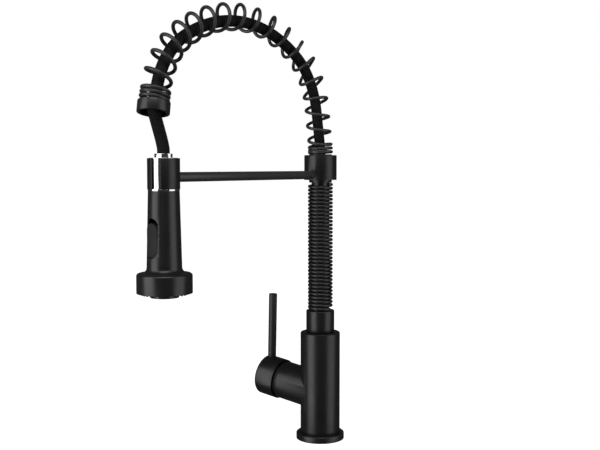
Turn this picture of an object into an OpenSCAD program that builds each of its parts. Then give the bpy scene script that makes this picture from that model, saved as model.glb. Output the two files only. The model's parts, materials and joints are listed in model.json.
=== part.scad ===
// Pull down kitchen faucet with a spring arch and a docked spray head.
// Millimetres, +Z up. The origin is the centre of the base flange's underside, on the deck.
// The spout reaches towards -Y and the lever stands on the -X side.

/* [Base] */
// Diameter of the flange that covers the deck hole
flange_d = 51; // [46:0.5:60]
// Height of the flange
flange_h = 6.8; // [5:0.1:9]
// Diameter of the upright body
body_d = 42; // [40:0.5:50]
// Height of the body's top above the deck
body_top = 114.6; // [105:0.1:138]
// Depth of the swivel socket in the body's top
socket_depth = 30.6; // [26:0.1:37]
// Diameter of the swivel socket
socket_d = 27; // [25:0.5:30]
// Diameter of the two inlet bores, the tapping size of an M10 x 1 thread
inlet_bore_d = 9; // [8.5:0.1:9.5]
// Distance between the two inlets
inlet_spacing = 17; // [15:0.5:18]
// Diameter of the fixing stud's bore, the tapping size of an M8 thread
stud_bore_d = 6.8; // [6.5:0.1:7.2]

/* [Valve] */
// Height at which the valve's axis crosses the body's axis
valve_z = 50.2; // [46:0.1:55]
// Rise of the valve's axis away from the body, in degrees
valve_rise = 8; // [0:0.5:12]
// Distance from the body's axis to the housing's end, along the valve's axis
housing_end = 50; // [47:0.1:60]
// Diameter of the valve housing
housing_d = 40.6; // [39.5:0.1:44]
// Diameter of the ceramic cartridge
cartridge_d = 34.8; // [33:0.1:35.5]
// Furthest tilt of the lever, in degrees
tilt_max = 25; // [15:1:26]

/* [Handle] */
// Wall of the cap outside its spherical seat, which sets how far it stands proud
cap_wall = 1; // [0.6:0.1:2]
// Length of the cap beyond the seam
cap_length = 22.9; // [20:0.1:28]
// Diameter of the lever
lever_d = 9; // [7.5:0.1:10]
// Length of the lever from the valve's axis to its tip
lever_length = 91.5; // [70:0.5:110]
// Lean of the lever towards the body, in degrees from upright
lever_lean = 1.3; // [0:0.1:3]

/* [Riser] */
// Diameter of the spring seat above the body
seat_d = 29.9; // [28:0.1:36]
// Height of the spring seat
seat_h = 23.1; // [18:0.1:28]
// Outer diameter of the riser tube
tube_d = 19; // [17:0.1:19.2]
// Diameter of the spring wire
wire_d = 3.3; // [2.6:0.1:3.5]
// Outer diameter of the coil
coil_d = 26.6; // [26:0.1:30]
// Turns of the close coil round the riser
riser_turns = 35; // [28:1:42]
// Rise of each turn of the close coil
riser_pitch = 3.87; // [3.8:0.01:4.6]

/* [Arm] */
// Diameter of the docking collar
collar_d = 34.2; // [32:0.1:41]
// Height of the docking collar
collar_h = 26; // [21:0.1:32]
// Diameter of the sleeve inside the collar
sleeve_d = 24; // [22.5:0.1:26]
// Height of the arm's axis above the collar's lower edge
arm_up = 5.3; // [4.8:0.1:8]
// Distance from the riser's axis to the spray head's axis
arm_reach = 242; // [200:1:260]
// Diameter of the arm
arm_d = 8.6; // [7:0.1:9.4]
// Outer diameter of the dock ring
ring_d = 27.8; // [27.4:0.1:34]
// Height of the dock ring
ring_h = 26; // [21:0.1:32]
// Width of the slit in the dock ring
ring_slit = 8.5; // [4:0.5:10]
// Turn of the slit towards the lever's other side, in degrees from straight out
slit_turned = 14; // [0:1:20]

/* [Arch] */
// Radius of the arch's rising shoulder
shoulder_r = 80; // [70:1:90]
// Radius of the arch's top
crown_r = 165; // [140:1:190]
// How far the arch's end overhangs the spray head's axis
arch_over = 13.2; // [9:0.1:16]
// Radius of the arch's falling side
fall_r = 75; // [65:1:90]
// Mean pitch of the open turns
arch_pitch = 19.73; // [17:0.01:22]
// Diameter of the hose
hose_d = 10.8; // [9:0.1:12]
// Diameter of the spring's end cap
end_cap_d = 27.8; // [27.6:0.1:34]
// Length of the spring's end cap
end_cap_l = 11.5; // [10:0.5:16]
// Sideways lean of the end cap, in degrees
end_cap_lean = 5; // [0:0.5:6]

/* [Spray head] */
// Diameter of the sleeve that docks in the ring
dock_sleeve_d = 24.2; // [23.6:0.1:24.4]
// Diameter of the head's body at its top
head_top_d = 26.8; // [26.4:0.1:32]
// Diameter of the head's body above the flare
head_low_d = 30.2; // [29:0.1:36]
// Diameter of the head's base
head_base_d = 47.9; // [44:0.1:58]
// Height of the head's base
head_base_h = 17.3; // [14.5:0.1:20.8]
// Length of the head's body from the shoulder to the flare
head_body_l = 65; // [60:0.5:78]
// Turn of the head in its dock, in degrees from facing straight out
head_turned = 6; // [0:1:30]
// Height of the toggle's window
window_h = 34; // [30:0.5:40]
// Width of the toggle's window
window_w = 13; // [11:0.5:15]
// Number of spray nozzles
nozzle_count = 30; // [18:2:36]

/* [Hidden] */
$fn = 64;
eps = 0.01;
fit = 0.05;   // radial clearance of a running fit
snug = 0.02;  // radial clearance of a fixed fit
gap = 0.3;    // space between soft or loose neighbours
hose_bore = 6;

// Base and valve
spigot_d = 38;
seal_h = 2;
socket_floor = body_top - socket_depth;
passage_d = 12;
screw_d = 5;
housing_r = housing_d / 2;
cartridge_floor = housing_end - 28;
cartridge_l = 22.5;
turret_s = cartridge_floor + 13;         // the turret's foot, along the valve's axis
skirt_up = 6.9;                          // from the tilt centre to the cap's skirt
ball_s = housing_end + gap - skirt_up;   // tilt centre, along the valve's axis
seat_r = housing_r + gap;                // the cap's spherical inside
cap_r = seat_r + cap_wall;
cap_end = housing_end + gap + cap_length;
turret_d = 20;
stem_d = 8;
pin_d = 3;
disc_drop = 9.4;                         // from the tilt centre to the stem's lower ball
boss_d = 14;
lever_s = cap_end - 8.3;                 // the lever's foot, along the valve's axis
lever_socket = 14;                       // where the lever's hole ends, from the valve's axis

// Riser and arm
seat_z = body_top + gap;
seat_top = seat_z + seat_h;
spigot_inner_d = 22;
tube_foot = seat_z + 3;
coil_r = (coil_d - wire_d) / 2;
coil_top = seat_top + riser_turns * riser_pitch;
sleeve_z = coil_top + gap / 2;
collar_z = sleeve_z + 2.8;
collar_top = collar_z + collar_h;
arch_z = collar_top + 1.2;
arm_z = collar_z + arm_up;
ring_z = arm_z - 9.9;
nipple_top = socket_floor + 12;

// Arch: each stretch is [radius, turn in degrees], or [0, length] where it is straight
end_turn = 167;
end_straight = 23.4;
// The crown turns from one heading to the other, so that the arch's end comes out over the head
fixed_out = 60 * (1 - cos(9)) + 36 * sin(9) + shoulder_r * cos(9) - fall_r * cos(end_turn)
    + end_straight * sin(end_turn);
into = crown_r - shoulder_r + (crown_r - fall_r) * cos(1);
across = (crown_r - fall_r) * sin(1);
crown_from = acos((arm_reach + arch_over - fixed_out) / norm([into, across])) - atan2(across, into);
crown_to = 179 - crown_from;
arch_path = [[60, 9], [0, 36], [shoulder_r, crown_from - 9], [crown_r, crown_to - crown_from],
    [fall_r, end_turn - crown_to], [0, end_straight]];
arch_len = path_len(arch_path);
close_pitch = wire_d + 0.3;
lead_turns = 2.95;                       // close turns above the collar
tail_turns = 2.95;                       // close turns in and above the end cap
pitch_swing = 13;                        // how much wider the turns stand at the crown
hose_sag = 4;                            // the hose lies this far inside the crown's centreline
side_twist = 55;                         // phase of the outer tips as they pass round the arch
wire_steps = 14;
wire_sides = 8;
cap_start = arch_len - end_cap_l;
hose_split = cap_start + 4;              // the held hose ends here, inside the cap
hose_sides = 10;

// Spray head
dock_gap = 1.5;
shoulder_z = ring_z - dock_gap;
flare_z = shoulder_z - head_body_l;
flare_r = 5;
base_edge = 2.5;                         // rounding of the base's upper edge
base_top = flare_z - flare_r;
rim_r = head_base_d / 2 - base_edge;
base_z = base_top - head_base_h;
head_wall = 2;
neck_d = min(head_top_d, head_low_d) - 2 * head_wall;   // the sleeve's spigot in the shell's top
sleeve_over = 2.4;                       // the docking sleeve stands above the ring
connector_top = ring_z + ring_h + 3.9;
nut_bore = 17;                           // the swivel nut's seat in the sleeve
window_z = shoulder_z - 40;
button_h = window_h - 4.6;
button_z = window_z - window_h / 2 + 0.5 + button_h / 2;
pivot_y = -9.5;
pivot_z = button_z;
toggle_pin_d = 2;
finger_drop = 4.3;                       // the toggle's finger, below its pin
finger_d = 2.4;
finger_tip_y = -3;
spool_travel = 0.9;
spool_d = 7;
valve_core_d = 14;
water_d = 12;
boss_plate_d = 24.5;                     // the raised middle of the spray plate
boss_drop = 3.7;
nozzle_d = 2.2;
nozzle_r = 19.4;

black = [0.07, 0.07, 0.075];
steel = [0.75, 0.76, 0.78];
brass = [0.75, 0.62, 0.32];
rubber = [0.12, 0.12, 0.12];
chrome = [0.9, 0.9, 0.92];
ceramic = [0.93, 0.92, 0.88];
nylon = [0.88, 0.88, 0.84];

// --- Paths in the plane of the spout: [distance out from the riser, height] ---

function stretch_len(g) = g[0] > 0 ? g[0] * g[1] * PI / 180 : g[1];
function path_len(path, i = 0) = i < len(path) ? stretch_len(path[i]) + path_len(path, i + 1) : 0;
function turned(g, s) = g[0] > 0 ? s / g[0] * 180 / PI : 0;
function moved(g, p, h, s) = g[0] > 0
    ? let (t = turned(g, s)) [p[0] + g[0] * (cos(h) - cos(h + t)), p[1] + g[0] * (sin(h + t) - sin(h))]
    : [p[0] + s * sin(h), p[1] + s * cos(h)];
// Point and heading at a distance along a path; the heading is measured from straight up
function walk(path, s, p = [0, arch_z], h = 0, i = 0) = let (g = path[i], l = stretch_len(g))
    s <= l || i == len(path) - 1 ? [moved(g, p, h, s), h + turned(g, s)]
    : walk(path, s - l, moved(g, p, h, l), h + turned(g, l), i + 1);
function bezier(a, b, c, d, t) = a * pow(1 - t, 3) + b * 3 * t * pow(1 - t, 2)
    + c * 3 * t * t * (1 - t) + d * pow(t, 3);

// Place along the arch of the outer tip of turn n
function open_s(n) = 27.7 + arch_pitch * n - swing(n);
first_n = -0.85;
open_end = cap_start + 1.4 - tail_turns * close_pitch - 27.7;
function settled(n, again = 6) = again == 0 ? n
    : settled((open_end + pitch_swing * sin(381.6 / n)) / arch_pitch, again - 1);
last_n = settled(17);                    // the open turns end where the close ones begin
open_turns = last_n - first_n;
function swing(n) = pitch_swing * sin(360 * (n + 1.06) / last_n);
function wire_s(n) = n < first_n ? open_s(first_n) + (n - first_n) * close_pitch
    : n > last_n ? open_s(last_n) + (n - last_n) * close_pitch : open_s(n);
// Lean of a turn along the arch, where the open turns rise
function lean(h) = h > 9 && h < 100 ? 7.3 * sin(1.978 * (h - 9)) : 0;
// The arch's wire is wound left-handed
function wire_point(n) = let (w = walk(arch_path, max(wire_s(n), wire_d / 2)), h = w[1],
    a = 360 * n + side_twist * cos(h), p = w[0], l = lean(h) * sin(a))
    [coil_r * sin(a), -p[0] + coil_r * cos(a) * cos(h) - l * sin(h),
        p[1] + coil_r * cos(a) * sin(h) + l * cos(h)];

function unit(v) = v / norm(v);
function ring_points(c, t, r, sides, turn) = let (u = unit(cross(t, turn)), v = cross(unit(t), u))
    [for (k = [0 : sides - 1]) c + r * (cos(360 * k / sides) * u + sin(360 * k / sides) * v)];

// A round bar swept along points, closed at both ends. Up is any direction no ring faces.
module swept(points, r, sides, up) {
    n = len(points);
    rings = [for (i = [0 : n - 1]) ring_points(points[i],
        points[min(i + 1, n - 1)] - points[max(i - 1, 0)], r, sides, up(points, i))];
    verts = [for (ring = rings) each ring];
    sides_faces = [for (i = [0 : n - 2], k = [0 : sides - 1]) let (j = (k + 1) % sides)
        [i * sides + k, i * sides + j, (i + 1) * sides + j, (i + 1) * sides + k]];
    ends = [[for (k = [sides - 1 : -1 : 0]) k], [for (k = [0 : sides - 1]) (n - 1) * sides + k]];
    polyhedron(verts, concat(sides_faces, ends), convexity = 10);
}

// --- Plain shapes ---

module tube(d, hole, z0, z1) {
    difference() {
        translate([0, 0, z0]) cylinder(d = d, h = z1 - z0);
        translate([0, 0, z0 - 1]) cylinder(d = hole, h = z1 - z0 + 2);
    }
}

// A cylinder whose upper edge is chamfered
module capped(d, z0, z1, edge) {
    translate([0, 0, z0]) cylinder(d = d, h = z1 - z0 - edge);
    translate([0, 0, z1 - edge]) cylinder(d1 = d, d2 = d - 2 * edge, h = edge);
}

module ring_of(r, section_d, z) {
    translate([0, 0, z]) rotate_extrude() translate([r, 0]) circle(d = section_d, $fn = 24);
}

// The valve's frame: +Z runs out along the valve's axis, +X is the lever's side
module on_valve() {
    translate([0, 0, valve_z]) rotate([0, valve_rise - 90, 0]) children();
}

module at_head() {
    translate([0, -arm_reach, 0]) rotate([0, 0, -head_turned]) children();
}

module stadium(w, h) {
    for (s = [-1, 1]) translate([0, s * (h - w) / 2]) circle(d = w);
    square([w, h - w], center = true);
}

// --- Base ---

module body_casting() color(black) difference() {
    union() {
        capped(body_d, flange_h, body_top, 0.8);
        cylinder(d = spigot_d, h = flange_h + 1);
        on_valve() {
            cylinder(r = housing_r, h = ball_s);
            intersection() {
                translate([0, 0, ball_s]) sphere(r = housing_r);
                cylinder(r = housing_r + 1, h = housing_end);
            }
        }
    }
    // swivel socket, mixed water passage and retaining screw
    translate([0, 0, socket_floor]) cylinder(d = socket_d, h = socket_depth + 1);
    translate([0, 0, valve_z]) cylinder(d = passage_d, h = socket_floor - valve_z + eps);
    translate([0, 0, screw_z()]) rotate([-90, 0, 0]) cylinder(d = screw_d, h = body_d);
    // valve chamber, its mouth and its ports
    on_valve() {
        translate([0, 0, cartridge_floor]) cylinder(d = cartridge_d + 2 * fit, h = body_d);
        translate([0, 0, nut_s()]) cylinder(d = nut_d() + 2 * fit, h = body_d);
        translate([9, 0, 0]) cylinder(d = 7, h = cartridge_floor + 1);
        for (s = [-1, 1]) translate([-4, s * 8, 0]) cylinder(d = 6, h = cartridge_floor + 1);
    }
    // inlets and fixing stud, bored from below
    for (s = [-1, 1]) translate([inlet_x(), s * inlet_spacing / 2, -1]) {
        cylinder(d = inlet_bore_d, h = 16);
        cylinder(d = 6, h = valve_z - 1);
    }
    translate([stud_x(), 0, -1]) cylinder(d = stud_bore_d, h = 21);
}
function screw_z() = socket_floor + 6.5;
function nut_s() = cartridge_floor + cartridge_l;
function nut_d() = cartridge_d + 1.3;
function inlet_x() = -5;
function stud_x() = 9.5;

module base_flange() color(black) difference() {
    capped(flange_d, 0, flange_h, 0.7);
    translate([0, 0, -1]) cylinder(d = spigot_d + 2 * fit, h = flange_h + 2);
    tube(flange_d - 4, flange_d - 9, -1, seal_h + 0.1);
}

module base_gasket() color(rubber) tube(flange_d - 4 - 0.2, flange_d - 9 + 0.2, 0, seal_h);

module swivel_bush(z0, z1) color(nylon) tube(socket_d - 2 * fit, spigot_inner_d + 2 * fit, z0, z1);
module swivel_bush_upper() swivel_bush(body_top - 7, body_top - 0.5);
module swivel_bush_lower() swivel_bush(socket_floor + 0.1, socket_floor + 3.5);

module spout_retaining_screw() color(steel) difference() {
    translate([0, 0, screw_z()]) rotate([-90, 0, 0]) translate([0, 0, groove_r() + 0.3])
        cylinder(d = screw_d - 2 * fit, h = body_d / 2 - 1.5 - groove_r());
    translate([0, body_d / 2 - 3.5, screw_z()]) rotate([-90, 0, 0]) cylinder(d = 2.9, h = 10, $fn = 6);
}
function groove_r() = spigot_inner_d / 2 - 2;

// --- Cartridge, drawn along the valve's axis ---

module cartridge_body() color(nylon) on_valve() difference() {
    translate([0, 0, cartridge_floor + 0.3]) cylinder(d = cartridge_d, h = cartridge_l - 0.35);
    translate([0, 0, cartridge_floor + 4]) cylinder(d = cartridge_d - 5, h = 13.5);
    translate([0, 0, cartridge_floor + 10]) cylinder(d = turret_d + 2 * fit, h = cartridge_l);
    translate([7, 0, cartridge_floor - 1]) cylinder(d = 6, h = 8);
    for (s = [-1, 1]) translate([-4, s * 7, cartridge_floor - 1]) cylinder(d = 5, h = 8);
    for (s = [-1, 1]) translate([-4, s * 7, cartridge_floor - 1]) cylinder(d = 9, h = 2.6);
    translate([7, 0, cartridge_floor - 1]) cylinder(d = 10, h = 2.6);
}

module cartridge_seals() color(rubber) on_valve() {
    for (s = [-1, 1]) translate([-4, s * 7, cartridge_floor + 0.05]) tube(8.8, 5.2, 0, 1.4);
    translate([7, 0, cartridge_floor + 0.05]) tube(9.8, 6.4, 0, 1.4);
}

module fixed_ceramic_disc() color(ceramic) on_valve() difference() {
    translate([0, 0, cartridge_floor + 4.02]) cylinder(d = cartridge_d - 6, h = 3);
    translate([7, 0, cartridge_floor]) cylinder(d = 5.6, h = 9);
    for (s = [-1, 1]) translate([-4, s * 7, cartridge_floor]) cylinder(d = 4.6, h = 9);
}

module moving_ceramic_disc() color(ceramic) on_valve() difference() {
    translate([0, 0, cartridge_floor + 7.05]) cylinder(d = 19, h = 5.6);
    // pocket for the stem's ball
    translate([0, 0, ball_s - disc_drop]) translate([-2.1, -4, -2.4]) cube([4.2, 8, 10]);
}

module cartridge_nut() color(brass) on_valve()
    tube(nut_d(), turret_d + 2 * fit, nut_s() + 0.05, housing_end - 0.3);

module cartridge_turret() color(nylon) on_valve() difference() {
    union() {
        translate([0, 0, turret_s]) cylinder(d = 26, h = 4.4);
        translate([0, 0, turret_s]) cylinder(d = turret_d, h = housing_end - 0.5 - turret_s);
    }
    // room for the stem to tilt one way: its outer end drops and its inner end rises
    translate([0, 0, ball_s]) rotate([90, 0, 0]) linear_extrude(stem_d + 4 * fit, center = true)
        polygon([[-slot_wide(12), 12], [-slot_wide(0), 0], [-slot_wide(0), -12],
            [slot_wide(12), -12], [slot_wide(0), 0], [slot_wide(0), 12]]);
    translate([0, 0, ball_s]) rotate([90, 0, 0]) cylinder(d = pin_d, h = 30, center = true);
}

function slot_wide(up) = stem_d / 2 / cos(tilt_max) + gap + up * tan(tilt_max);

module stem_pin() color(steel) on_valve() translate([0, 0, ball_s]) rotate([90, 0, 0])
    cylinder(d = pin_d - 2 * snug, h = turret_d - 2, center = true);

module cartridge_stem() color(brass) on_valve() difference() {
    translate([0, 0, ball_s]) union() {
        translate([-stem_d / 2, -stem_d / 2, -4]) cube([stem_d, stem_d, 20]);
        translate([0, 0, -disc_drop]) cylinder(d = 4, h = disc_drop);
        translate([0, 0, -disc_drop]) sphere(d = 4);
    }
    translate([0, 0, ball_s]) rotate([90, 0, 0]) cylinder(d = pin_d + 2 * fit, h = 30, center = true);
}

// --- Handle ---

module handle_cap() color(black) difference() {
    on_valve() difference() {
        union() {
            difference() {
                capped_end(cap_r, housing_end + gap, cap_end, 2.2);
                translate([0, 0, ball_s]) sphere(r = seat_r);
            }
            // boss that grips the stem
            translate([0, 0, ball_s + 11.6]) cylinder(d = boss_d, h = cap_end - ball_s - 15);
        }
        translate([-stem_d / 2 - fit, -stem_d / 2 - fit, ball_s])
            cube([stem_d + 2 * fit, stem_d + 2 * fit, 16.1]);
        translate([0, 0, grub_s()]) rotate([0, -90, 0]) cylinder(d = 4, h = 40);
    }
    lever_place() cylinder(d = lever_d + 2 * fit, h = 40);
}
function grub_s() = ball_s + 14;

module capped_end(r, z0, z1, edge) {
    translate([0, 0, z0]) cylinder(r = r, h = z1 - z0 - edge);
    rotate_extrude() translate([0, z1 - edge]) {
        square([r - edge, edge]);
        intersection() {
            translate([r - edge, 0]) circle(r = edge);
            square([r, edge]);
        }
    }
}

module lever_place() {
    on_valve() translate([0, 0, lever_s]) rotate([0, 90 - valve_rise + lever_lean, 0])
        rotate([0, 0, 180]) translate([0, 0, lever_socket]) children();
}

module lever_rod() color(black) lever_place() {
    reach = lever_length - lever_socket - 0.4;
    translate([0, 0, 0.1]) cylinder(d = lever_d, h = reach - 0.1);
    translate([0, 0, reach - eps]) cylinder(d1 = lever_d, d2 = lever_d - 0.8, h = 0.4);
}

module handle_grub_screw() color(steel) on_valve() translate([0, 0, grub_s()]) rotate([0, -90, 0])
    difference() {
        translate([0, 0, stem_d / 2 + fit]) cylinder(d = 4 - 2 * snug, h = 5.9);
        translate([0, 0, stem_d / 2 + 3.7]) cylinder(d = 2.3, h = 5, $fn = 6);
    }

// --- Riser ---

module spring_seat() color(black) difference() {
    union() {
        capped(seat_d, seat_z, seat_top, 0.6);
        translate([0, 0, socket_floor + 0.6]) cylinder(d = spigot_inner_d, h = seat_z - socket_floor);
    }
    translate([0, 0, tube_foot]) cylinder(d = tube_d + 2 * snug, h = seat_h + 1);
    translate([0, 0, socket_floor - 1]) cylinder(d = hose_d + 2, h = body_top);
    // grooves for the retaining screw and the two seals
    tube(spigot_inner_d + 1, 2 * groove_r(), screw_z() - screw_d / 2 - 0.1, screw_z() + screw_d / 2 + 0.1);
    for (z = seal_levels()) tube(spigot_inner_d + 1, seal_groove_d(), z - 2.1, z + 2.1);
    // shadow line where the seat meets the body
    tube(seat_d + 1, seat_d - 1, seat_z - 1, seat_z + 0.5);
}
function seal_levels() = [socket_floor + 13.5, socket_floor + 19];
function seal_groove_d() = spigot_inner_d - 2.1;

module swivel_o_rings() color(rubber) for (z = seal_levels())
    ring_of((socket_d + seal_groove_d()) / 4, (socket_d - seal_groove_d()) / 2 - 2 * fit, z);

module hose_nipple() color(brass) tube(hose_d + 2 - 2 * snug, hose_bore, socket_floor + 0.8, nipple_top);

module riser_tube() color(black) tube(tube_d, tube_d - 2.4, tube_foot, arch_z - 1.5);

// The close coil, drawn as stacked turns on a thin core
module riser_coil() color(black) rotate_extrude() {
    translate([tube_d / 2 + 0.1, seat_top]) square([coil_r - tube_d / 2 - 0.1, coil_top - seat_top]);
    for (i = [0 : riser_turns - 1]) translate([coil_r, seat_top + (i + 0.5) * riser_pitch])
        circle(d = wire_d, $fn = 24);
}

module collar_sleeve() color(black) tube(sleeve_d, tube_d + 2 * snug, sleeve_z, arch_z - gap);

module docking_collar() color(black) difference() {
    capped(collar_d, collar_z, collar_top, 0.5);
    translate([0, 0, collar_z - 1]) cylinder(d = sleeve_d + 2 * snug, h = collar_h + 2);
    translate([0, 0, arm_z]) rotate([90, 0, 0]) cylinder(d = arm_d - 2, h = collar_d);
    translate([0, 0, set_screw_z()]) rotate([-90, 0, 0]) cylinder(d = 4, h = collar_d);
}
function set_screw_z() = collar_z + collar_h / 2;

module collar_set_screw() color(steel) translate([0, 0, set_screw_z()]) rotate([-90, 0, 0]) difference() {
    translate([0, 0, sleeve_d / 2 + 0.05]) cylinder(d = 4 - 2 * snug, h = (collar_d - sleeve_d) / 2 - 1);
    translate([0, 0, collar_d / 2 - 2.5]) cylinder(d = 2.3, h = 5, $fn = 6);
}

module arm_rod() color(black) translate([0, 0, arm_z]) rotate([90, 0, 0]) {
    difference() {
        translate([0, 0, collar_d / 2 - 1.2])
            cylinder(d = arm_d, h = arm_reach - (ring_d + collar_d) / 2 + 2);
        rotate([-90, 0, 0]) cylinder(d = collar_d + 2 * snug, h = 60, center = true);
        rotate([-90, 0, 0]) translate([0, -arm_reach, 0])
            cylinder(d = ring_d + 2 * snug, h = 60, center = true);
    }
    translate([0, 0, sleeve_d / 2 + 0.3]) cylinder(d = arm_d - 2 - 2 * snug, h = (collar_d - sleeve_d) / 2 + 1);
}

module dock_ring() color(black) translate([0, -arm_reach, 0]) difference() {
    tube(ring_d, dock_sleeve_d + 2 * fit + 0.1, ring_z, ring_z + ring_h);
    rotate([0, 0, slit_turned]) translate([-ring_slit / 2, -ring_d, ring_z - 1])
        cube([ring_slit, ring_d, ring_h + 2]);
}

// --- Arch ---

module arch_spring() color(black) {
    turns = lead_turns + open_turns + tail_turns;
    steps = round(turns * wire_steps);
    points = [for (i = [0 : steps]) wire_point(first_n - lead_turns + turns * i / steps)];
    // each ring's side vector points at the arch's centreline, which no ring faces
    swept(points, wire_d / 2, wire_sides, function (p, i) unit(p[i] - arch_centre(i, steps, turns)));
}
function arch_centre(i, steps, turns) =
    let (w = walk(arch_path, max(wire_s(first_n - lead_turns + turns * i / steps), wire_d / 2)))
    [0, -w[0][0], w[0][1]];

// The frame at the arch's end: +Z points back up into the spring
module at_arch_end() {
    w = walk(arch_path, cap_start);
    translate([0, -w[0][0], w[0][1]]) rotate([end_turn - 180, 0, 0]) rotate([0, -end_cap_lean, 0]) children();
}

module spring_end_cap() color(black) at_arch_end() difference() {
    translate([0, 0, -end_cap_l]) union() {
        cylinder(d = end_cap_d, h = end_cap_l - 2);
        translate([0, 0, end_cap_l - 2]) cylinder(d1 = end_cap_d, d2 = end_cap_d - 3, h = 2);
    }
    translate([0, 0, -end_cap_l - 1]) cylinder(d = end_cap_d - 5, h = end_cap_l - 4);
    translate([0, 0, -end_cap_l]) cylinder(d = hose_d + 3, h = end_cap_l + 5);
    // seat for the spring's last turns
    translate([0, 0, -3.4]) cylinder(d = coil_d + 0.2, h = 10);
}

function on_plane(p) = [0, -p[0], p[1]];
// The held hose's centre, at a distance along the arch
function hose_place(s) = let (w = walk(arch_path, s), o = hose_sag * sin(180 * s / arch_len))
    w[0] + o * [cos(w[1]), -sin(w[1])];
hose_step = 8;
hose_rings = floor(hose_split / hose_step);
riser_hose_points = [for (z = [nipple_top : (arch_z - nipple_top) / 6 : arch_z - 1]) [0, 0, z]];
arch_hose_points = [for (i = [0 : hose_rings]) on_plane(hose_place(hose_split * i / hose_rings))];
down = [sin(end_turn), cos(end_turn)];
hose_end_l = 2.5;                        // straight stretch at each end of the drop hose
drop_start = hose_place(hose_split) + 0.25 * down;
drop_end = [arm_reach, connector_top];
drop_curve = [for (i = [0 : 12]) bezier(drop_start + hose_end_l * down, drop_start + 5 * down,
    drop_end + [0, 9], drop_end + [0, hose_end_l], i / 12)];
drop_points = [for (p = [drop_start, each drop_curve, drop_end]) on_plane(p)];

module supply_hose() color(rubber)
    swept(concat(riser_hose_points, arch_hose_points), hose_d / 2, hose_sides, function (p, i) [1, 0, 0]);

module drop_hose() color(rubber) swept(drop_points, hose_d / 2, hose_sides, function (p, i) [1, 0, 0]);

// --- Spray head ---

module swivel_connector() color(chrome) translate([0, -arm_reach, 0]) difference() {
    union() {
        translate([0, 0, connector_top - 6]) cylinder(d = 14 / cos(30), h = 6 - 0.05, $fn = 6);
        translate([0, 0, connector_top - 18]) cylinder(d = 11, h = 13);
        translate([0, 0, connector_top - 18]) cylinder(d = 13, h = 2);
    }
    translate([0, 0, connector_top - 20]) cylinder(d = 6, h = 30);
}

module swivel_nut() color(chrome) translate([0, -arm_reach, 0])
    tube(nut_bore - 2 * fit, 11 + 2 * fit, connector_top - 15.8, connector_top - 7);

module swivel_washer() color(rubber) translate([0, -arm_reach, 0])
    tube(12.6, 6.4, connector_top - 19.5, connector_top - 18.05);

sleeve_top = ring_z + ring_h + sleeve_over - 2.1;
module head_sleeve() color(chrome) at_head() difference() {
    union() {
        translate([0, 0, shoulder_z + 1.45]) cylinder(d = dock_sleeve_d, h = sleeve_top - shoulder_z - 1.45);
        translate([0, 0, shoulder_z - 8]) cylinder(d = neck_d - 2 * snug, h = 9.4);
        translate([0, 0, shoulder_z]) cylinder(d = min(neck_d, dock_sleeve_d) - 2 * snug, h = 2);
    }
    translate([0, 0, connector_top - 15.9]) cylinder(d = nut_bore, h = 20);
    translate([0, 0, connector_top - 19.6]) cylinder(d = 13 + 2 * fit, h = 5);
    translate([0, 0, shoulder_z - 9]) cylinder(d = water_d + 2 * snug, h = 10);
    translate([0, 0, shoulder_z - 9]) cylinder(d = 8, h = 40);
}

module shoulder_ring() color(chrome) at_head()
    tube(head_top_d + 0.4, neck_d, shoulder_z + 0.02, shoulder_z + 1.4);

module window_cut() {
    translate([0, 0, window_z]) rotate([90, 0, 0]) linear_extrude(head_low_d)
        stadium(window_w, window_h);
}

// Outline of the head's body and flare, drawn from the axis out
module shell_outline() {
    top_r = head_top_d / 2;
    low_r = head_low_d / 2;
    difference() {
        polygon([[0, shoulder_z], [top_r, shoulder_z], [low_r, flare_z], [low_r + flare_r, base_top],
            [rim_r, base_top], [rim_r, base_top - 3], [0, base_top - 3]]);
        translate([low_r + flare_r, flare_z]) circle(r = flare_r);
    }
}

module head_shell() color(black) at_head() difference() {
    rotate_extrude() difference() {
        shell_outline();
        polygon([[0, shoulder_z + 1], [neck_d / 2, shoulder_z + 1],
            [head_low_d / 2 - head_wall, flare_z], [head_low_d / 2 - head_wall, base_top - 4],
            [0, base_top - 4]]);
    }
    window_cut();
    translate([0, pivot_y, pivot_z]) rotate([0, 90, 0])
        cylinder(d = toggle_pin_d + 2 * snug, h = 2 * pin_reach() + 0.4, center = true);
}
function pin_reach() = sqrt(pow(head_mid_r() - 0.9, 2) - pow(pivot_y, 2));
function head_mid_r() = head_low_d / 2 - (head_low_d - head_top_d) / 2 * (pivot_z - flare_z) / head_body_l;

module head_base_ring() color(black) at_head() difference() {
    capped_end(head_base_d / 2, base_z, base_top, base_edge);
    translate([0, 0, base_top - 3.05]) cylinder(r = rim_r + snug, h = 10);
    translate([0, 0, base_z + 3.5]) cylinder(d = head_base_d - 7, h = head_base_h);
    translate([0, 0, base_z - 1]) cylinder(d = head_base_d - 3, h = 4.55);
}

module spray_plate() color(black) at_head() difference() {
    union() {
        translate([0, 0, base_z + 0.05]) cylinder(d = head_base_d - 3 - 2 * snug, h = 3.4);
        translate([0, 0, base_z - boss_drop]) cylinder(d = boss_plate_d, h = boss_drop + 2);
    }
    translate([0, 0, base_z - boss_drop - 1]) cylinder(d = 19, h = 20);
    nozzle_circle() translate([0, 0, base_z - 1]) cylinder(d = nozzle_d + 2 * snug, h = 6, $fn = 24);
}

module nozzle_circle() {
    for (i = [0 : nozzle_count - 1]) rotate([0, 0, (i + 0.5) * 360 / nozzle_count])
        translate([nozzle_r, 0, 0]) children();
}

module spray_nozzles() color(rubber) at_head() nozzle_circle() {
    translate([0, 0, base_z - 1.3]) cylinder(d1 = nozzle_d - 0.6, d2 = nozzle_d, h = 1.3, $fn = 24);
    translate([0, 0, base_z - eps]) cylinder(d = nozzle_d, h = 3.4, $fn = 24);
}

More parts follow.
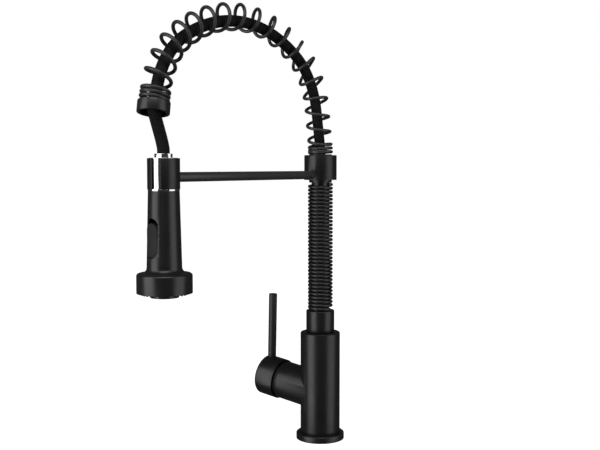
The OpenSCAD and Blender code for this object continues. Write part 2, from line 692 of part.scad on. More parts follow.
module aerator_insert() color(nylon) at_head() difference() {
    translate([0, 0, base_z - boss_drop + 0.8]) cylinder(d = 19 - 2 * fit, h = 6);
    for (x = [-6 : 3 : 6], y = [-6 : 3 : 6]) if (norm([x, y]) < 8)
        translate([x, y, base_z - boss_drop - 1]) cylinder(d = 1.6, h = 12, $fn = 16);
}

module diverter_body() color(nylon) at_head() difference() {
    translate([0, 0, base_z + 3.6]) cylinder(d = valve_core_d, h = diverter_top() - base_z - 3.6);
    translate([0, 0, base_z]) cylinder(d = spool_d + 2 * fit, h = 200);
    translate([0, 0, diverter_top() - 1.5]) cylinder(d = water_d + 2 * fit, h = 5);
    // room for the toggle's finger
    translate([-3, -12, pivot_z - 12]) cube([6, 12, diverter_top() - pivot_z + 20]);
}
function diverter_top() = pivot_z + 10;

module diverter_spool() color(brass) at_head() difference() {
    translate([0, 0, pivot_z - 24]) cylinder(d = spool_d, h = 30 - spool_travel);
    tube(spool_d + 1, spool_d - 2.4, pivot_z - finger_drop - 1.7, pivot_z - finger_drop + 1.7);
}

module water_tube() color(steel) at_head() tube(water_d, 8, diverter_top() - 1.4, shoulder_z + 0.9);

module check_valve() color(nylon) at_head() difference() {
    translate([0, 0, shoulder_z - 6]) cylinder(d = 7.9, h = 6);
    translate([0, 0, shoulder_z - 7]) cylinder(d = 4, h = 9);
}

// The toggle rocks on its pin: its upper end stands proud, its lower end lies in
module toggle_button() color(black) at_head() difference() {
    union() {
        intersection() {
            translate([0, 0, button_z]) rotate([90, 0, 0]) linear_extrude(head_low_d)
                stadium(window_w - 0.6, button_h);
            rotate([90, 0, 90]) linear_extrude(window_w, center = true) polygon([
                [-head_mid_r() - 0.3, button_z + button_h / 2],
                [-head_mid_r() - 0.5, button_z + button_h / 2 - 3],
                [-head_mid_r() + 0.6, button_z - 4], [-head_mid_r() + 0.9, button_z - button_h / 2],
                [pivot_y + 0.5, button_z - button_h / 2], [pivot_y + 0.5, button_z + button_h / 2]]);
            translate([0, 0, button_z - button_h]) cylinder(r = head_mid_r() + 0.6, h = 2 * button_h);
        }
        translate([0, pivot_y, pivot_z]) rotate([0, 90, 0])
            cylinder(d = 4.4, h = window_w - 1.2, center = true);
        // finger that moves the diverter's spool
        translate([0, pivot_y, pivot_z - finger_drop]) rotate([-90, 0, 0])
            cylinder(d = finger_d, h = finger_tip_y - pivot_y);
    }
    translate([0, pivot_y, pivot_z]) rotate([0, 90, 0])
        cylinder(d = toggle_pin_d + 2 * fit, h = 30, center = true);
}

module toggle_pin() color(steel) at_head() translate([0, pivot_y, pivot_z]) rotate([0, 90, 0])
    cylinder(d = toggle_pin_d, h = 2 * pin_reach(), center = true);

body_casting();
base_flange();
base_gasket();
swivel_bush_upper();
swivel_bush_lower();
spout_retaining_screw();
cartridge_body();
cartridge_seals();
fixed_ceramic_disc();
cartridge_nut();
cartridge_turret();
stem_pin();
moving_ceramic_disc();
cartridge_stem();
handle_cap();
lever_rod();
handle_grub_screw();
spring_seat();
swivel_o_rings();
hose_nipple();
riser_tube();
riser_coil();
collar_sleeve();
docking_collar();
collar_set_screw();
arm_rod();
dock_ring();
arch_spring();
spring_end_cap();
supply_hose();
drop_hose();
swivel_connector();
swivel_washer();
swivel_nut();
head_sleeve();
shoulder_ring();
head_shell();
head_base_ring();
water_tube();
check_valve();
diverter_body();
diverter_spool();
toggle_button();
toggle_pin();
spray_plate();
spray_nozzles();
aerator_insert();
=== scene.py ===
import json
import math

import bpy
from mathutils import Matrix, Vector

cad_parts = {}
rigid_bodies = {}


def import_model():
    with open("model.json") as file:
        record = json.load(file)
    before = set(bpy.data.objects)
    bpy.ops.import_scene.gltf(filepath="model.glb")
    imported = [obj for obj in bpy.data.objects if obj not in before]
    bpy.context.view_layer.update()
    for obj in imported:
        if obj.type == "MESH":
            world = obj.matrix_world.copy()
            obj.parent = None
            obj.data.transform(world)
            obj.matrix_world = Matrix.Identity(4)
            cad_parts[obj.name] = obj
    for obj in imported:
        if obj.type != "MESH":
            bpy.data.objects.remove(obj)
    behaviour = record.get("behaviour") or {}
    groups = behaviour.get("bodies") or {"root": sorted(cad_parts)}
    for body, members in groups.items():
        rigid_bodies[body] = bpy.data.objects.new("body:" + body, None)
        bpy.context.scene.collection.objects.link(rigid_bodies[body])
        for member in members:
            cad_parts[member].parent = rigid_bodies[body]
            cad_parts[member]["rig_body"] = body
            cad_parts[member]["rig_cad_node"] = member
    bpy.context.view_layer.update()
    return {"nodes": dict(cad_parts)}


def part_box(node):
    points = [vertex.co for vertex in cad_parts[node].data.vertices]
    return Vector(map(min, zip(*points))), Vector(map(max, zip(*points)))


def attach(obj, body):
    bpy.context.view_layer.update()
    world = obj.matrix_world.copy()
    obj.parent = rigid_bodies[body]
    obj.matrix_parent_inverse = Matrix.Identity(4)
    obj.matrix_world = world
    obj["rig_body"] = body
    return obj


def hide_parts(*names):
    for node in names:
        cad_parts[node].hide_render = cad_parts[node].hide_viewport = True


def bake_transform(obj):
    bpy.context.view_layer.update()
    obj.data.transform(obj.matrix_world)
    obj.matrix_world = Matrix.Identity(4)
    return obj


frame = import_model()
cad = frame["nodes"]
MM = 0.001

# --- Camera ---------------------------------------------------------------------------------
# A long lens a metre away, a little below the height of the docking ring's arm and turned so
# that the lever shows in full and the spray head hangs to the left.
CAMERA_TURN = 34.5      # degrees from straight in front of the spout
CAMERA_PITCH = 3.61     # degrees down
CAMERA_BACK, CAMERA_LEFT, CAMERA_HEIGHT = 1.005, 0.0216, 0.292      # metres, from the base
facing = math.radians(CAMERA_TURN)
back = Vector((math.sin(facing), -math.cos(facing), 0))
right = Vector((math.cos(facing), math.sin(facing), 0))
stand = back * CAMERA_BACK - right * CAMERA_LEFT + Vector((0, 0, CAMERA_HEIGHT))
bpy.ops.object.camera_add(location=stand,
                          rotation=(math.radians(90 - CAMERA_PITCH), 0, facing))
camera = bpy.context.object
camera.data.lens, camera.data.sensor_width = 57, 36
bpy.context.scene.camera = camera

# --- Studio ---------------------------------------------------------------------------------
# A pale floor and a pale room. Two tall soft boxes stand either side of the camera with a dark
# space between them, which gives each black tube its two soft bands and its dark middle. The
# floor lets the boxes' lower ends through, so that the bands run down to the base.
bpy.context.scene.view_settings.view_transform = "Standard"


def linear(colour):
    """A colour written as sRGB hex, in linear light."""
    parts = [int(colour[i:i + 2], 16) / 255 for i in (1, 3, 5)]
    return [c / 12.92 if c <= 0.04045 else ((c + 0.055) / 1.055) ** 2.4 for c in parts] + [1]


def add(tree, kind, settings=None, **inputs):
    """Adds a node. Inputs are values, or (node, output) pairs to link; settings are attributes."""
    made = tree.nodes.new(kind)
    for key, value in (settings or {}).items():
        setattr(made, key, value)
    for key, value in inputs.items():
        socket = made.inputs[int(key[1:])] if key[0] == "i" and key[1:].isdigit() \
            else made.inputs[key.replace("_", " ")]
        if isinstance(value, tuple) and isinstance(value[0], bpy.types.Node):
            tree.links.new(value[0].outputs[value[1]], socket)
        else:
            socket.default_value = value
    return made


def new_tree(owner):
    owner.use_nodes = True
    owner.node_tree.nodes.clear()
    return owner.node_tree


room = bpy.data.worlds.new("studio_room")
bpy.context.scene.world = room
tree = new_tree(room)
ray = add(tree, "ShaderNodeLightPath")
seen = add(tree, "ShaderNodeBackground", Color=linear("#ffffff"), Strength=1.0)
fill = add(tree, "ShaderNodeBackground", Color=linear("#e8ebf0"), Strength=0.055)
both = add(tree, "ShaderNodeMixShader", i0=(ray, "Is Camera Ray"), i1=(fill, 0), i2=(seen, 0))
add(tree, "ShaderNodeOutputWorld", Surface=(both, 0))

bpy.ops.mesh.primitive_circle_add(vertices=96, radius=6, fill_type="NGON", location=(0, 0, -0.0004))
floor = bpy.context.object
floor.name = "studio_floor"
paper = bpy.data.materials.new("pale_paper")
tree = new_tree(paper)
ray = add(tree, "ShaderNodeLightPath")
matt = add(tree, "ShaderNodeBsdfDiffuse", Color=linear("#c8c8c8"))
glow = add(tree, "ShaderNodeEmission", Color=linear("#ffffff"), Strength=0.985)
lit = add(tree, "ShaderNodeAddShader", i0=(matt, 0), i1=(glow, 0))
dim = add(tree, "ShaderNodeBsdfDiffuse", Color=linear("#5c5c5c"))
clear = add(tree, "ShaderNodeBsdfTransparent", Color=(1, 1, 1, 1))
through = add(tree, "ShaderNodeMath", {"operation": "MAXIMUM"}, i0=(ray, "Is Glossy Ray"),
              i1=(ray, "Is Shadow Ray"))
unseen = add(tree, "ShaderNodeMixShader", i0=(through, 0), i1=(dim, 0), i2=(clear, 0))
both = add(tree, "ShaderNodeMixShader", i0=(ray, "Is Camera Ray"), i1=(unseen, 0), i2=(lit, 0))
add(tree, "ShaderNodeOutputMaterial", Surface=(both, 0))
floor.data.materials.append(paper)


def soft_box(name, turn, distance, height, width, tall, power):
    """A soft light that faces the faucet; turn is degrees from the camera, right positive."""
    t = math.radians(turn)
    place = (back * math.cos(t) + right * math.sin(t)) * distance + Vector((0, -0.1, height))
    bpy.ops.object.light_add(type="AREA", location=place)
    light = bpy.context.object
    light.name = name
    light.rotation_euler = (Vector((0, -0.1, 0.22)) - place).to_track_quat("-Z", "Y").to_euler()
    light.data.shape, light.data.size, light.data.size_y = "RECTANGLE", width, tall
    light.data.energy = power
    light.visible_camera = False


soft_box("soft_box_left", -58, 1.6, 0.2, 1.2, 2.8, 24)
soft_box("soft_box_right", 68, 1.6, 0.2, 1.3, 2.8, 14.5)
soft_box("soft_box_above", 5, 1.3, 1.8, 1.8, 1.0, 17)

# --- Base -----------------------------------------------------------------------------------
# The upright body with its side housing is one brass casting, turned and then coated satin
# black. A separate flange covers the deck hole and a rubber gasket seals it.
COAT_GRAIN = 0.9        # mm; the coat's grain is near 0.1 mm, drawn coarser so that it shows
TURNING_PITCH = 0.55    # mm between turning marks, drawn coarser than the real 0.2 mm
WAVE = math.tau / 20    # the scale at which a wave texture repeats once in each unit
EDGE_ANGLE = 32         # degrees; edges sharper than this are rounded off


def coat(name, colour="#141415", roughness=0.35, turned=None, marks=0.0):
    """Satin black coating on metal. turned is the rotation that lays Z along the turning axis."""
    made = bpy.data.materials.new(name)
    tree = new_tree(made)
    where = add(tree, "ShaderNodeTexCoord")
    grain = add(tree, "ShaderNodeTexNoise", Vector=(where, "Object"), Scale=1 / (COAT_GRAIN * MM),
                Detail=3.0, Roughness=0.6)
    cloud = add(tree, "ShaderNodeTexNoise", Vector=(where, "Object"), Scale=55.0, Detail=2.0)
    rough = add(tree, "ShaderNodeMapRange", Value=(cloud, "Fac"), From_Min=0.3, From_Max=0.7,
                To_Min=roughness - 0.035, To_Max=roughness + 0.035)
    shade = add(tree, "ShaderNodeMix", {"data_type": "RGBA"}, i0=(grain, "Fac"),
                i6=linear(colour), i7=[c * 1.25 for c in linear(colour)[:3]] + [1])
    bump = add(tree, "ShaderNodeBump", Strength=0.06, Distance=0.05 * MM, Height=(grain, "Fac"))
    if turned is not None:
        laid = add(tree, "ShaderNodeMapping", Vector=(where, "Object"), Rotation=turned)
        lines = add(tree, "ShaderNodeTexWave", {"wave_type": "BANDS", "bands_direction": "Z"},
                    Vector=(laid, 0), Scale=WAVE / (TURNING_PITCH * MM), Distortion=0.8,
                    Detail=2.0, Detail_Scale=0.4)
        bump = add(tree, "ShaderNodeBump", Strength=marks, Distance=0.03 * MM,
                   Height=(lines, "Fac"), Normal=(bump, 0))
    skin = add(tree, "ShaderNodeBsdfPrincipled", Base_Color=(shade, 2), Roughness=(rough, 0),
               Normal=(bump, 0), IOR=1.5)
    add(tree, "ShaderNodeOutputMaterial", Surface=(skin, 0))
    return made


def finish(node, material):
    """Gives a CAD node its finish."""
    cad[node].data.materials.clear()
    cad[node].data.materials.append(material)


def only(piece):
    """Selects one piece and nothing else."""
    bpy.ops.object.select_all(action="DESELECT")
    piece.select_set(True)
    bpy.context.view_layer.objects.active = piece


def rounded(node, edge, material, segments=2):
    """A copy of a CAD node with its sharp edges rounded off as a polished casting's are."""
    piece = cad[node].copy()
    piece.data = cad[node].data.copy()
    piece.name = piece.data.name = node + "_finished"
    piece.parent = None
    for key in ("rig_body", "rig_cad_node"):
        del piece[key]
    bpy.context.scene.collection.objects.link(piece)
    only(piece)
    bpy.ops.mesh.customdata_custom_splitnormals_clear()
    bpy.ops.object.mode_set(mode="EDIT")
    bpy.ops.mesh.select_all(action="SELECT")
    bpy.ops.mesh.remove_doubles(threshold=0.002 * MM)
    bpy.ops.mesh.dissolve_limited(angle_limit=math.radians(0.4))
    bpy.ops.object.mode_set(mode="OBJECT")
    bevel = piece.modifiers.new("edge", "BEVEL")
    bevel.width, bevel.segments = edge * MM, segments
    bevel.limit_method, bevel.angle_limit = "ANGLE", math.radians(EDGE_ANGLE)
    bpy.ops.object.modifier_apply(modifier="edge")
    bpy.ops.object.shade_smooth_by_angle(angle=math.radians(35))
    piece.data.materials.clear()
    piece.data.materials.append(material)
    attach(piece, cad[node]["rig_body"])
    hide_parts(node)
    return piece


body_coat = coat("satin_black_coat", turned=(0, 0, 0), marks=0.06)
rounded("body_casting", 0.25, body_coat)
rounded("base_flange", 0.25, body_coat)


def rubber(name, colour="#131313"):
    """Moulded nitrile rubber: dull, with a slight bloom."""
    made = bpy.data.materials.new(name)
    tree = new_tree(made)
    where = add(tree, "ShaderNodeTexCoord")
    bloom = add(tree, "ShaderNodeTexNoise", Vector=(where, "Object"), Scale=900.0, Detail=3.0)
    rough = add(tree, "ShaderNodeMapRange", Value=(bloom, "Fac"), To_Min=0.62, To_Max=0.8)
    shade = add(tree, "ShaderNodeMix", {"data_type": "RGBA"}, i0=(bloom, "Fac"),
                i6=linear(colour), i7=[c * 1.5 for c in linear(colour)[:3]] + [1])
    bump = add(tree, "ShaderNodeBump", Strength=0.1, Distance=0.05 * MM, Height=(bloom, "Fac"))
    skin = add(tree, "ShaderNodeBsdfPrincipled", Base_Color=(shade, 2), Roughness=(rough, 0),
               Normal=(bump, 0), IOR=1.52)
    add(tree, "ShaderNodeOutputMaterial", Surface=(skin, 0))
    return made


seal_rubber = rubber("nitrile_rubber")
finish("base_gasket", seal_rubber)

# --- Swivel ---------------------------------------------------------------------------------
# The spout's spigot turns in two moulded nylon bushes and is held down by a stainless grub
# screw in the body's back, whose point runs in a groove.


def nylon(name, colour):
    """Moulded nylon: an even semi-matt skin, faintly clouded."""
    made = bpy.data.materials.new(name)
    tree = new_tree(made)
    where = add(tree, "ShaderNodeTexCoord")
    cloud = add(tree, "ShaderNodeTexNoise", Vector=(where, "Object"), Scale=260.0, Detail=2.0)
    shade = add(tree, "ShaderNodeMix", {"data_type": "RGBA"}, i0=(cloud, "Fac"),
                i6=linear(colour), i7=[c * 0.86 for c in linear(colour)[:3]] + [1])
    rough = add(tree, "ShaderNodeMapRange", Value=(cloud, "Fac"), To_Min=0.36, To_Max=0.48)
    skin = add(tree, "ShaderNodeBsdfPrincipled", Base_Color=(shade, 2), Roughness=(rough, 0),
               IOR=1.53, Subsurface_Weight=0.1, Subsurface_Scale=0.8 * MM)
    add(tree, "ShaderNodeOutputMaterial", Surface=(skin, 0))
    return made


def machined(name, colour, roughness, pitch):
    """Bare turned metal: fine rings round Z, and a slightly uneven polish."""
    made = bpy.data.materials.new(name)
    tree = new_tree(made)
    where = add(tree, "ShaderNodeTexCoord")
    lines = add(tree, "ShaderNodeTexWave", {"wave_type": "BANDS", "bands_direction": "Z"},
                Vector=(where, "Object"), Scale=WAVE / (pitch * MM), Distortion=1.2, Detail=2.0)
    cloud = add(tree, "ShaderNodeTexNoise", Vector=(where, "Object"), Scale=180.0, Detail=3.0)
    rough = add(tree, "ShaderNodeMapRange", Value=(cloud, "Fac"), From_Min=0.3, From_Max=0.7,
                To_Min=roughness * 0.8, To_Max=roughness * 1.2)
    bump = add(tree, "ShaderNodeBump", Strength=0.08, Distance=0.03 * MM, Height=(lines, "Fac"))
    skin = add(tree, "ShaderNodeBsdfPrincipled", Base_Color=linear(colour), Metallic=1.0,
               Roughness=(rough, 0), Normal=(bump, 0))
    add(tree, "ShaderNodeOutputMaterial", Surface=(skin, 0))
    return made


white_nylon = nylon("moulded_nylon", "#dcdad2")
stainless = machined("stainless_steel", "#b9bbbd", 0.28, 0.4)
bare_brass = machined("machined_brass", "#c9a24e", 0.26, 0.35)
for part in ("swivel_bush_upper", "swivel_bush_lower"):
    finish(part, white_nylon)
finish("spout_retaining_screw", stainless)

# --- Cartridge ------------------------------------------------------------------------------
# A 35 mm ceramic cartridge: a nylon case with rubber seals below, two lapped alumina discs, a
# turret that turns for temperature and a brass stem that tilts on its pin for flow.
alumina = bpy.data.materials.new("lapped_alumina")
tree = new_tree(alumina)
where = add(tree, "ShaderNodeTexCoord")
speck = add(tree, "ShaderNodeTexNoise", Vector=(where, "Object"), Scale=1400.0, Detail=2.0)
shade = add(tree, "ShaderNodeMix", {"data_type": "RGBA"}, i0=(speck, "Fac"),
            i6=linear("#efece2"), i7=linear("#dedacd"))
skin = add(tree, "ShaderNodeBsdfPrincipled", Base_Color=(shade, 2), Roughness=0.12, IOR=1.76)
add(tree, "ShaderNodeOutputMaterial", Surface=(skin, 0))
for part in ("fixed_ceramic_disc", "moving_ceramic_disc"):
    finish(part, alumina)
for part in ("cartridge_body", "cartridge_turret"):
    finish(part, white_nylon)
for part in ("cartridge_nut", "cartridge_stem"):
    finish(part, bare_brass)
finish("cartridge_seals", seal_rubber)
finish("stem_pin", stainless)

# --- Handle ---------------------------------------------------------------------------------
# A turned cap with a spherical inside rides over the housing's end, and a plain round lever is
# screwed into it. Both are brass under the same coat, the cap with its turning marks showing.
VALVE_RISE = 8          # degrees that the valve's axis rises away from the body
cap_coat = coat("satin_black_coat_turned", turned=(0, math.radians(VALVE_RISE - 90), 0), marks=0.12)
rounded("handle_cap", 0.2, cap_coat)
lever_coat = coat("satin_black_coat_fine", colour="#222223", roughness=0.42)
rounded("lever_rod", 0.3, lever_coat)
finish("handle_grub_screw", stainless)

# --- Riser ----------------------------------------------------------------------------------
# The riser is a coated tube that stands in a coated seat, with a close-wound spring over it.
# The spring is one length of round wire, wound left-handed and coated before it is slid on.
COIL_WIRE = 3.3         # mm
COIL_ACROSS = 26.6      # mm, outside
COIL_TURNS = 35
rounded("spring_seat", 0.2, body_coat)
finish("swivel_o_rings", seal_rubber)
finish("hose_nipple", bare_brass)
finish("riser_tube", body_coat)

coil_low, coil_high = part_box("riser_coil")[0].z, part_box("riser_coil")[1].z
pitch = (coil_high - coil_low - COIL_WIRE * MM) / (COIL_TURNS - 1)
bpy.ops.object.select_all(action="DESELECT")
bpy.ops.mesh.primitive_circle_add(vertices=14, radius=COIL_WIRE / 2 * MM, rotation=(math.pi / 2, 0, 0),
                                  location=((COIL_ACROSS - COIL_WIRE) / 2 * MM, 0,
                                            coil_low + COIL_WIRE / 2 * MM))
riser_spring = bpy.context.object
riser_spring.name = riser_spring.data.name = "riser_spring"
bpy.ops.object.transform_apply(location=True, rotation=True, scale=True)
wound = riser_spring.modifiers.new("wound", "SCREW")
wound.angle = -math.tau
wound.screw_offset = pitch
wound.iterations = COIL_TURNS - 1
wound.steps = wound.render_steps = 40
bpy.ops.object.modifier_apply(modifier="wound")
bpy.ops.object.mode_set(mode="EDIT")
bpy.ops.mesh.select_all(action="SELECT")
bpy.ops.mesh.remove_doubles(threshold=0.001 * MM)
bpy.ops.mesh.select_all(action="DESELECT")
bpy.ops.mesh.select_mode(type="EDGE")
bpy.ops.mesh.select_non_manifold()
bpy.ops.mesh.edge_face_add()
bpy.ops.mesh.select_all(action="SELECT")
bpy.ops.mesh.normals_make_consistent(inside=False)
bpy.ops.object.mode_set(mode="OBJECT")
bpy.ops.object.shade_smooth_by_angle(angle=math.radians(50))
# The riser coil and the arch are one wire under one coat, drawn in two tones. The arch's copy is
# lighter, a painted sheen that stands in for the satin highlights on its turns.
riser_coat = coat("satin_black_coat_riser", colour="#1d1d1e", roughness=0.34)
arch_coat_painted_sheen = coat("satin_black_coat_arch_painted_sheen", colour="#2f2f30", roughness=0.36)
riser_spring.data.materials.append(riser_coat)
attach(riser_spring, "spout")
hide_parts("riser_coil")

# --- Docking arm ----------------------------------------------------------------------------
# A turned collar is clamped to the riser by a grub screw, and a round rod joins it to a split
# ring that the spray head drops into. The chromed docking sleeve shows through the ring's slit.
rounded("collar_sleeve", 0.2, body_coat)
rounded("docking_collar", 0.2, body_coat)
finish("collar_set_screw", stainless)
rod_coat = coat("satin_black_coat_rod", colour="#343435", roughness=0.4)
rounded("arm_rod", 0.1, rod_coat)
rounded("dock_ring", 0.15, body_coat)

# --- Spring arch ----------------------------------------------------------------------------
# One length of the same wire, wound left-handed round the hose. Its turns lie close at both
# ends and open out over the arch, widest at the crown, because the spring bends there.
# each stretch is (radius in mm, turn in degrees), or (0, length in mm) where it is straight
ARCH_WAY = [(60, 9), (0, 36), (80, 48.971), (165, 63.059), (75, 45.971), (0, 23.4)]
ARCH_PITCH, PITCH_SWING, CLOSE_PITCH = 19.73, 13.0, 3.6
FIRST_OPEN, OPEN_TURNS, LEAD_TURNS, TAIL_TURNS = -0.85, 17.855, 2.95, 2.95
SIDE_TWIST = 55         # degrees that the turns' outer tips swing round as the arch turns over
LEAN = 7.3              # mm that each turn leans along the arch on its rising side
arch_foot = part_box("docking_collar")[1].z / MM + 1.2


def along_arch(distance):
    """(distance out, height, heading) on the arch's centreline, in mm and degrees from up."""
    out, up, heading = 0.0, arch_foot, 0.0
    for number, (radius, amount) in enumerate(ARCH_WAY):
        length = math.radians(amount) * radius if radius else amount
        step = min(distance, length) if number < len(ARCH_WAY) - 1 else distance
        h = math.radians(heading)
        if radius:
            t = step / radius
            out += radius * (math.cos(h) - math.cos(h + t))
            up += radius * (math.sin(h + t) - math.sin(h))
            heading += math.degrees(t)
        else:
            out += step * math.sin(h)
            up += step * math.cos(h)
        distance -= step
        if distance <= 0:
            break
    return out, up, heading


def turn_place(turn):
    """How far along the arch a turn's outer tip lies, in mm."""
    def opened(n):
        return 27.7 + ARCH_PITCH * n - PITCH_SWING * math.sin(math.tau * (n + 1.06) / 17)
    last = FIRST_OPEN + OPEN_TURNS
    if turn < FIRST_OPEN:
        return opened(FIRST_OPEN) + (turn - FIRST_OPEN) * CLOSE_PITCH
    if turn > last:
        return opened(last) + (turn - last) * CLOSE_PITCH
    return opened(turn)


def wire_place(turn):
    out, up, heading = along_arch(max(turn_place(turn), COIL_WIRE / 2))
    h = math.radians(heading)
    a = math.radians(360 * turn + SIDE_TWIST * math.cos(h))
    reach = (COIL_ACROSS - COIL_WIRE) / 2
    lean = LEAN * math.sin(math.radians(1.978 * (heading - 9))) * math.sin(a) \
        if 9 < heading < 100 else 0
    return Vector((reach * math.sin(a),
                   -out + reach * math.cos(a) * math.cos(h) - lean * math.sin(h),
                   up + reach * math.cos(a) * math.sin(h) + lean * math.cos(h))) * MM


def swept(name, points, across, resolution):
    """A round bar along points, closed at both ends; across is its diameter in mm."""
    line = bpy.data.curves.new(name, "CURVE")
    line.dimensions, line.bevel_depth, line.bevel_resolution = "3D", across / 2 * MM, resolution
    line.use_fill_caps = True
    spline = line.splines.new("POLY")
    spline.points.add(len(points) - 1)
    for place, point in zip(spline.points, points):
        place.co = (*point, 1)
    piece = bpy.data.objects.new(name, line)
    bpy.context.scene.collection.objects.link(piece)
    only(piece)
    bpy.ops.object.convert(target="MESH")
    piece = bpy.context.object
    bpy.ops.object.mode_set(mode="EDIT")
    bpy.ops.mesh.select_all(action="SELECT")
    bpy.ops.mesh.remove_doubles(threshold=0.001 * MM)
    bpy.ops.mesh.normals_make_consistent(inside=False)
    bpy.ops.object.mode_set(mode="OBJECT")
    bpy.ops.object.shade_smooth_by_angle(angle=math.radians(50))
    return piece


turns = LEAD_TURNS + OPEN_TURNS + TAIL_TURNS
steps = round(turns * 40)
arch_wire = swept("arch_wire", [wire_place(FIRST_OPEN - LEAD_TURNS + turns * i / steps)
                                for i in range(steps + 1)], COIL_WIRE, 4)
arch_wire.data.materials.append(arch_coat_painted_sheen)
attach(arch_wire, "spout")
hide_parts("arch_spring")
# The end cap's coat is drawn a little lighter than the body's. The lighter colour is a painted sheen
# for the brighter bands on the cap, and the lower roughness is its real glossier finish.
end_cap_coat_painted_sheen = coat("satin_black_coat_end_cap_painted_sheen", colour="#202021", roughness=0.32)
rounded("spring_end_cap", 0.2, end_cap_coat_painted_sheen)

# --- Hose -----------------------------------------------------------------------------------
# A black braided hose comes up the riser, follows the arch inside the spring and drops into
# the spray head. Its braid is woven nylon yarn over a rubber tube.
HOSE_ACROSS = 10.8      # mm
HOSE_SAG = 4.0          # mm that the hose lies inside the centreline at the crown
arch_length = sum(math.radians(a) * r if r else a for r, a in ARCH_WAY)
hose_split = arch_length - 7.5

RIBS = 20               # lengthwise cords round the hose, about 1.7 mm each
YARN_PITCH = 5.0        # mm between the yarns that cross them, drawn coarser than real yarn
HELD_PATTERN, DROP_PATTERN = 570, 58    # mm of pattern; the short drop's yarns lie closer


def braided(name, length):
    """Woven nylon over rubber. U runs along the hose, with length mm of pattern; V runs round."""
    made = bpy.data.materials.new(name)
    tree = new_tree(made)
    where = add(tree, "ShaderNodeTexCoord")
    cords = add(tree, "ShaderNodeTexWave", {"wave_type": "BANDS", "bands_direction": "Y"},
                Vector=(where, "UV"), Scale=RIBS * WAVE)
    laid = add(tree, "ShaderNodeMapping", Vector=(where, "UV"), Scale=(length / YARN_PITCH, 4, 1))
    yarn = add(tree, "ShaderNodeTexWave", {"wave_type": "BANDS", "bands_direction": "X"},
               Vector=(laid, 0), Scale=WAVE)
    weave = add(tree, "ShaderNodeMath", {"operation": "MULTIPLY"}, i0=(cords, "Fac"),
                i1=(yarn, "Fac"))
    relief = add(tree, "ShaderNodeMath", {"operation": "ADD"}, i0=(cords, "Fac"), i1=(weave, 0))
    shade = add(tree, "ShaderNodeMix", {"data_type": "RGBA"}, i0=(relief, 0),
                i6=linear("#030303"), i7=linear("#121213"))
    bump = add(tree, "ShaderNodeBump", Strength=0.7, Distance=0.3 * MM, Height=(relief, 0))
    skin = add(tree, "ShaderNodeBsdfPrincipled", Base_Color=(shade, 2), Roughness=0.6,
               Specular_IOR_Level=0.2, Normal=(bump, 0))
    add(tree, "ShaderNodeOutputMaterial", Surface=(skin, 0))
    return made


def hose_place(distance):
    """The hose's centre at a distance along the arch; it lies towards the arch's inside."""
    out, up, heading = along_arch(distance)
    sag = HOSE_SAG * math.sin(math.pi * distance / arch_length)
    h = math.radians(heading)
    return Vector((0, -out - sag * math.cos(h), up - sag * math.sin(h))) * MM


nipple_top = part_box("hose_nipple")[1].z
held = [Vector((0, 0, nipple_top + (arch_foot * MM - nipple_top) * i / 6)) for i in range(6)]
held += [hose_place(hose_split * i / 90) for i in range(91)]
supply = swept("supply_hose_braided", held, HOSE_ACROSS, 8)
supply.data.materials.append(braided("braided_nylon_hose", HELD_PATTERN))
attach(supply, "spout")
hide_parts("supply_hose")

split = math.radians(along_arch(hose_split)[2])
down = Vector((0, -math.sin(split), math.cos(split)))
start = hose_place(hose_split) + down * 0.25 * MM
head_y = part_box("swivel_connector")[0].y / 2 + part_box("swivel_connector")[1].y / 2
end = Vector((0, head_y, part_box("drop_hose")[0].z))
a, b = start + down * 2.5 * MM, start + down * 5 * MM
c, d = end + Vector((0, 0, 9)) * MM, end + Vector((0, 0, 2.5)) * MM
drop = [start]
for i in range(29):
    t = i / 28
    drop.append(a * (1 - t) ** 3 + b * 3 * t * (1 - t) ** 2 + c * 3 * t * t * (1 - t) + d * t ** 3)
drop.append(end)
drop_hose = swept("drop_hose_braided", drop, HOSE_ACROSS, 8)
drop_hose.data.materials.append(braided("braided_nylon_hose_end", DROP_PATTERN))
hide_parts("drop_hose")
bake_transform(drop_hose)

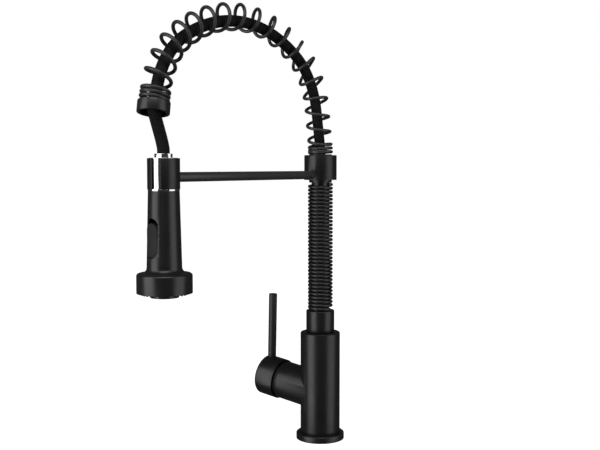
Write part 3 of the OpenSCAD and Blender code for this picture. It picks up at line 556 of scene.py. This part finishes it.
# --- Hose end -------------------------------------------------------------------------------
# A chromed hex connector is crimped on the hose. It stays put while the docking sleeve, with its
# nut and rubber washer, turns round it, so that the head can swivel.


def chrome(name, roughness=0.06):
    """Bright nickel and chrome plate, with the faint unevenness of a polished part."""
    made = bpy.data.materials.new(name)
    tree = new_tree(made)
    where = add(tree, "ShaderNodeTexCoord")
    cloud = add(tree, "ShaderNodeTexNoise", Vector=(where, "Object"), Scale=320.0, Detail=3.0)
    rough = add(tree, "ShaderNodeMapRange", Value=(cloud, "Fac"), From_Min=0.3, From_Max=0.7,
                To_Min=roughness * 0.7, To_Max=roughness * 1.5)
    skin = add(tree, "ShaderNodeBsdfPrincipled", Base_Color=linear("#e6e8ea"), Metallic=1.0,
               Roughness=(rough, 0))
    add(tree, "ShaderNodeOutputMaterial", Surface=(skin, 0))
    return made


plate = chrome("chrome_plate")
rounded("swivel_connector", 0.25, plate)
finish("swivel_washer", seal_rubber)
finish("swivel_nut", plate)

# --- Spray head -----------------------------------------------------------------------------
# The chromed docking sleeve carries a moulded shell, painted satin black, that flares into a
# base ring. A toggle in its front window picks the stream or the spray.
rounded("head_sleeve", 0.2, plate)
rounded("shoulder_ring", 0.2, plate)
# The shell's satin paint is drawn a little lighter than the body's coat. The lighter colour is a
# painted sheen for the brighter bands on the head, and the lower roughness is its real glossier paint.
# The base ring and spray plate share it.
shell_paint_with_painted_sheen = coat("satin_black_paint_with_painted_sheen", colour="#1b1b1c", roughness=0.31)
rounded("head_shell", 0.2, shell_paint_with_painted_sheen)
rounded("head_base_ring", 0.3, shell_paint_with_painted_sheen)
button_plastic = coat("moulded_black_button", colour="#050505", roughness=0.7)
rounded("toggle_button", 0.4, button_plastic, segments=3)
rounded("spray_plate", 0.3, shell_paint_with_painted_sheen)
nozzle_rubber = rubber("silicone_nozzles", "#1b1b1c")
finish("spray_nozzles", nozzle_rubber)
for part in ("aerator_insert", "check_valve", "diverter_body"):
    finish(part, white_nylon)
for part in ("water_tube", "toggle_pin"):
    finish(part, stainless)
finish("diverter_spool", bare_brass)
